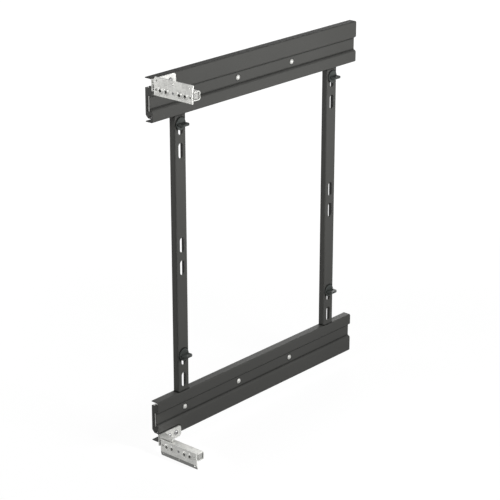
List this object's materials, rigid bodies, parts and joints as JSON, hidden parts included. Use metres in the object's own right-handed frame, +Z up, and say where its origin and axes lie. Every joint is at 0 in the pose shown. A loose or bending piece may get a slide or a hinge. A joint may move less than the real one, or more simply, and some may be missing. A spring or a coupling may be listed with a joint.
{
  "type": "base unit pull-out frame",
  "caption": "Wall-side pull-out frame for a base unit: two rails on ball slides joined by slotted posts, with adjustable front panel brackets and turn clips for trays.",
  "frame": {"origin": "centre of the rectangle of the four cabinet fixing holes, on the wall side of the slides", "axes": "+Z up along the posts, +Y along the rails to the back of the cabinet, so the frame pulls out towards -Y, and +X away from the cabinet wall towards the trays"},
  "size_m": [0.0991, 0.4844, 0.6106],
  "materials": {
    "coat": "anthracite powder coat, fine matt texture",
    "zinc": "bright zinc-plated steel",
    "steel": "plain bright steel, lightly greased",
    "cap_plastic": "moulded dark grey plastic",
    "clip_plastic": "moulded anthracite plastic",
    "rubber": "black rubber"
  },
  "bodies": {
    "cabinet_rails": {"upper_cabinet_member": "zinc", "lower_cabinet_member": "zinc", "upper_rear_stop": "rubber", "lower_rear_stop": "rubber"},
    "outer_cages": {"upper_outer_cage": "steel", "lower_outer_cage": "steel", "upper_outer_balls": "steel", "lower_outer_balls": "steel"},
    "middle_members": {"upper_middle_member": "steel", "lower_middle_member": "steel"},
    "inner_cages": {"upper_inner_cage": "steel", "lower_inner_cage": "steel", "upper_inner_balls": "steel", "lower_inner_balls": "steel"},
    "frame": {"upper_rail": "coat", "lower_rail": "coat", "upper_inner_member": "zinc", "lower_inner_member": "zinc", "upper_front_cap": "cap_plastic", "lower_front_cap": "cap_plastic", "upper_rail_rivets": "zinc", "lower_rail_rivets": "zinc", "upper_bracket_screws": "steel", "lower_bracket_screws": "steel", "front_post": "coat", "front_post_rivets": "coat", "rear_post": "coat", "rear_post_rivets": "coat"},
    "upper_front_bracket": {"upper_bracket": "zinc"},
    "upper_panel_carrier": {"upper_slider": "zinc", "upper_front_plate": "zinc", "upper_plate_screw": "steel"},
    "lower_front_bracket": {"lower_bracket": "zinc"},
    "lower_panel_carrier": {"lower_slider": "zinc", "lower_front_plate": "zinc", "lower_plate_screw": "steel"},
    "front_upper_clip": {"front_upper_clip": "clip_plastic"},
    "front_lower_clip": {"front_lower_clip": "clip_plastic"},
    "rear_upper_clip": {"rear_upper_clip": "clip_plastic"},
    "rear_lower_clip": {"rear_lower_clip": "clip_plastic"}
  },
  "joints": [
    {"name": "pull_out", "type": "slide", "parent": "cabinet_rails", "child": "frame", "axis": [0, -1, 0], "range_m": [0, 0.45]},
    {"name": "middle_run", "type": "slide", "parent": "cabinet_rails", "child": "middle_members", "axis": [0, -1, 0], "range_m": [0, 0.225]},
    {"name": "outer_cage_run", "type": "slide", "parent": "cabinet_rails", "child": "outer_cages", "axis": [0, -1, 0], "range_m": [0, 0.1125]},
    {"name": "inner_cage_run", "type": "slide", "parent": "cabinet_rails", "child": "inner_cages", "axis": [0, -1, 0], "range_m": [0, 0.3375]},
    {"name": "upper_height_adjust", "type": "slide", "parent": "frame", "child": "upper_front_bracket", "axis": [0, 0, 1], "range_m": [-0.002, 0.002]},
    {"name": "upper_side_adjust", "type": "slide", "parent": "upper_front_bracket", "child": "upper_panel_carrier", "axis": [1, 0, 0], "range_m": [-0.003, 0.003]},
    {"name": "lower_height_adjust", "type": "slide", "parent": "frame", "child": "lower_front_bracket", "axis": [0, 0, 1], "range_m": [-0.002, 0.002]},
    {"name": "lower_side_adjust", "type": "slide", "parent": "lower_front_bracket", "child": "lower_panel_carrier", "axis": [1, 0, 0], "range_m": [-0.003, 0.003]},
    {"name": "front_upper_clip_turn", "type": "hinge", "parent": "frame", "child": "front_upper_clip", "pos_m": [0.0126, -0.15, 0.212], "axis": [1, 0, 0], "range_deg": [0, 90]},
    {"name": "front_lower_clip_turn", "type": "hinge", "parent": "frame", "child": "front_lower_clip", "pos_m": [0.0126, -0.15, -0.164], "axis": [1, 0, 0], "range_deg": [0, 90]},
    {"name": "rear_upper_clip_turn", "type": "hinge", "parent": "frame", "child": "rear_upper_clip", "pos_m": [0.0126, 0.21, 0.212], "axis": [1, 0, 0], "range_deg": [0, 90]},
    {"name": "rear_lower_clip_turn", "type": "hinge", "parent": "frame", "child": "rear_lower_clip", "pos_m": [0.0126, 0.21, -0.164], "axis": [1, 0, 0], "range_deg": [0, 90]}
  ],
  "couplings": [
    {"joint": "middle_run", "follows": "pull_out", "ratio": 0.5},
    {"joint": "outer_cage_run", "follows": "pull_out", "ratio": 0.25},
    {"joint": "inner_cage_run", "follows": "pull_out", "ratio": 0.75}
  ]
}
